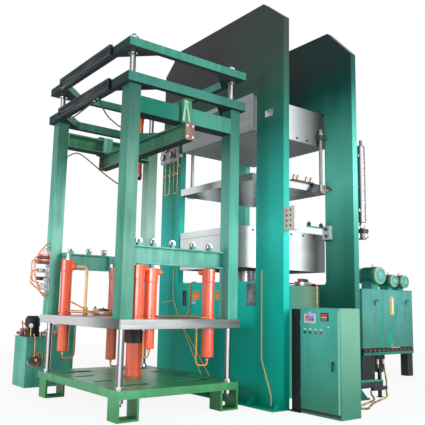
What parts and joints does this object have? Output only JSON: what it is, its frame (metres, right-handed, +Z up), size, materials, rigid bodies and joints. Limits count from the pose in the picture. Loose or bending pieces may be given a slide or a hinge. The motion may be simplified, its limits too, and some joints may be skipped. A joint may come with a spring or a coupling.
{
  "type": "rubber vulcanizing press",
  "caption": "Frame-plate rubber vulcanizing press with two daylights, a lifting loader carriage beside it, a control cabinet, a hydraulic power pack and a small feed unit.",
  "frame": {"origin": "on the floor, in the middle of the whole plant's floor area", "axes": "+X from the loader through the press to the power pack; +Y away from the control cabinet's side; +Z up"},
  "size_m": [9.004, 6.088, 7.098],
  "materials": {
    "press_green": "semi-gloss enamel",
    "loader_green": "semi-gloss enamel, lighter",
    "dark_green": "semi-gloss enamel, dark",
    "lift_red": "gloss enamel",
    "ram_steel": "ground",
    "platen_steel": "milled",
    "black_paint": "satin",
    "box_grey": "satin",
    "chrome": "polished",
    "button_green": "moulded",
    "button_red": "moulded",
    "hose_rubber": "smooth cover",
    "motor_blue": "painted casting"
  },
  "bodies": {
    "plant": {"loader_base": "loader_green", "guide_column_1": "ram_steel", "guide_column_2": "ram_steel", "guide_column_3": "ram_steel", "guide_column_4": "ram_steel", "crown_frame": "loader_green", "ram_cylinder": "lift_red", "frame_plate_1": "press_green", "frame_plate_2": "press_green", "upper_block": "platen_steel", "press_bed": "press_green", "gauge_box": "box_grey", "button_box": "box_grey", "accumulator": "chrome", "control_cabinet": "press_green", "cable_duct": "black_paint", "pump_stand": "dark_green", "oil_tank": "press_green", "tank_cover": "press_green", "pump_motor_1": "motor_blue", "pump_motor_2": "motor_blue", "pump_motor_3": "motor_blue", "feed_unit_tank": "dark_green", "feed_unit_motor": "black_paint", "pump_hose_1": "hose_rubber", "pump_hose_2": "hose_rubber"},
    "carriage": {"lift_platform": "loader_green", "carriage_post_1": "loader_green", "carriage_post_2": "loader_green", "carriage_post_3": "loader_green", "carriage_post_4": "loader_green", "carriage_head_frame": "loader_green", "head_beam_front": "loader_green", "head_beam_back": "loader_green", "lift_cylinder_1": "lift_red", "lift_cylinder_2": "lift_red", "lift_cylinder_3": "lift_red", "lift_cylinder_4": "lift_red", "lift_cylinder_5": "lift_red", "ram_plunger": "black_paint"},
    "hanger": {"hanger_beam": "loader_green"},
    "front_beam": {"roller_beam_front": "loader_green"},
    "back_beam": {"roller_beam_back": "loader_green"},
    "table": {"lower_table": "platen_steel", "main_ram": "black_paint"},
    "platen": {"middle_platen": "platen_steel"},
    "door": {"cabinet_door": "press_green"},
    "handle": {"door_handle": "black_paint"},
    "button_1": {"push_button_1": "button_green"},
    "button_2": {"push_button_2": "button_green"},
    "button_3": {"push_button_3": "button_red"},
    "button_4": {"push_button_4": "button_red"},
    "front_roller_1_body": {"front_roller_1": "platen_steel"},
    "front_roller_2_body": {"front_roller_2": "platen_steel"},
    "front_roller_3_body": {"front_roller_3": "platen_steel"},
    "front_roller_4_body": {"front_roller_4": "platen_steel"},
    "front_roller_5_body": {"front_roller_5": "platen_steel"},
    "back_roller_1_body": {"back_roller_1": "platen_steel"},
    "back_roller_2_body": {"back_roller_2": "platen_steel"},
    "back_roller_3_body": {"back_roller_3": "platen_steel"}
  },
  "joints": [
    {"name": "carriage_lift", "type": "slide", "parent": "plant", "child": "carriage", "axis": [0, 0, 1], "range_m": [0, 0.34]},
    {"name": "hanger_travel", "type": "slide", "parent": "carriage", "child": "hanger", "axis": [1, 0, 0], "range_m": [-0.6, 0.6]},
    {"name": "front_beam_lift", "type": "slide", "parent": "carriage", "child": "front_beam", "axis": [0, 0, 1], "range_m": [0, 0.25]},
    {"name": "back_beam_lift", "type": "slide", "parent": "carriage", "child": "back_beam", "axis": [0, 0, 1], "range_m": [0, 0.25]},
    {"name": "table_lift", "type": "slide", "parent": "plant", "child": "table", "axis": [0, 0, 1], "range_m": [0, 1.57]},
    {"name": "platen_lift", "type": "slide", "parent": "plant", "child": "platen", "axis": [0, 0, 1], "range_m": [0, 0.785]},
    {"name": "door_swing", "type": "hinge", "parent": "plant", "child": "door", "pos_m": [-1.618, -2.248, 0.8], "axis": [0, 0, -1], "range_deg": [0, 100]},
    {"name": "handle_turn", "type": "hinge", "parent": "door", "child": "handle", "pos_m": [-1.618, -2.92, 0.815], "axis": [1, 0, 0], "range_deg": [0, 90]},
    {"name": "button_1_press", "type": "slide", "parent": "door", "child": "button_1", "axis": [1, 0, 0], "range_m": [0, 0.006], "stiffness_N_per_m": 400},
    {"name": "button_2_press", "type": "slide", "parent": "door", "child": "button_2", "axis": [1, 0, 0], "range_m": [0, 0.006], "stiffness_N_per_m": 400},
    {"name": "button_3_press", "type": "slide", "parent": "door", "child": "button_3", "axis": [1, 0, 0], "range_m": [0, 0.006], "stiffness_N_per_m": 400},
    {"name": "button_4_press", "type": "slide", "parent": "door", "child": "button_4", "axis": [1, 0, 0], "range_m": [0, 0.006], "stiffness_N_per_m": 400},
    {"name": "front_roller_1_spin", "type": "hinge", "parent": "front_beam", "child": "front_roller_1_body", "pos_m": [-4.09196, -1.313, 2.569], "axis": [0, 1, 0], "continuous": true},
    {"name": "front_roller_2_spin", "type": "hinge", "parent": "front_beam", "child": "front_roller_2_body", "pos_m": [-3.83633, -1.313, 2.569], "axis": [0, 1, 0], "continuous": true},
    {"name": "front_roller_3_spin", "type": "hinge", "parent": "front_beam", "child": "front_roller_3_body", "pos_m": [-3.49254, -1.313, 2.569], "axis": [0, 1, 0], "continuous": true},
    {"name": "front_roller_4_spin", "type": "hinge", "parent": "front_beam", "child": "front_roller_4_body", "pos_m": [-3.09939, -1.313, 2.569], "axis": [0, 1, 0], "continuous": true},
    {"name": "front_roller_5_spin", "type": "hinge", "parent": "front_beam", "child": "front_roller_5_body", "pos_m": [-2.76971, -1.313, 2.569], "axis": [0, 1, 0], "continuous": true},
    {"name": "back_roller_1_spin", "type": "hinge", "parent": "back_beam", "child": "back_roller_1_body", "pos_m": [-4.0108, 1.257, 2.589], "axis": [0, 1, 0], "continuous": true},
    {"name": "back_roller_2_spin", "type": "hinge", "parent": "back_beam", "child": "back_roller_2_body", "pos_m": [-3.65932, 1.257, 2.589], "axis": [0, 1, 0], "continuous": true},
    {"name": "back_roller_3_spin", "type": "hinge", "parent": "back_beam", "child": "back_roller_3_body", "pos_m": [-3.34622, 1.257, 2.589], "axis": [0, 1, 0], "continuous": true}
  ],
  "couplings": [
    {"joint": "platen_lift", "follows": "table_lift", "ratio": 0.5},
    {"joint": "back_beam_lift", "follows": "front_beam_lift", "ratio": 1}
  ]
}
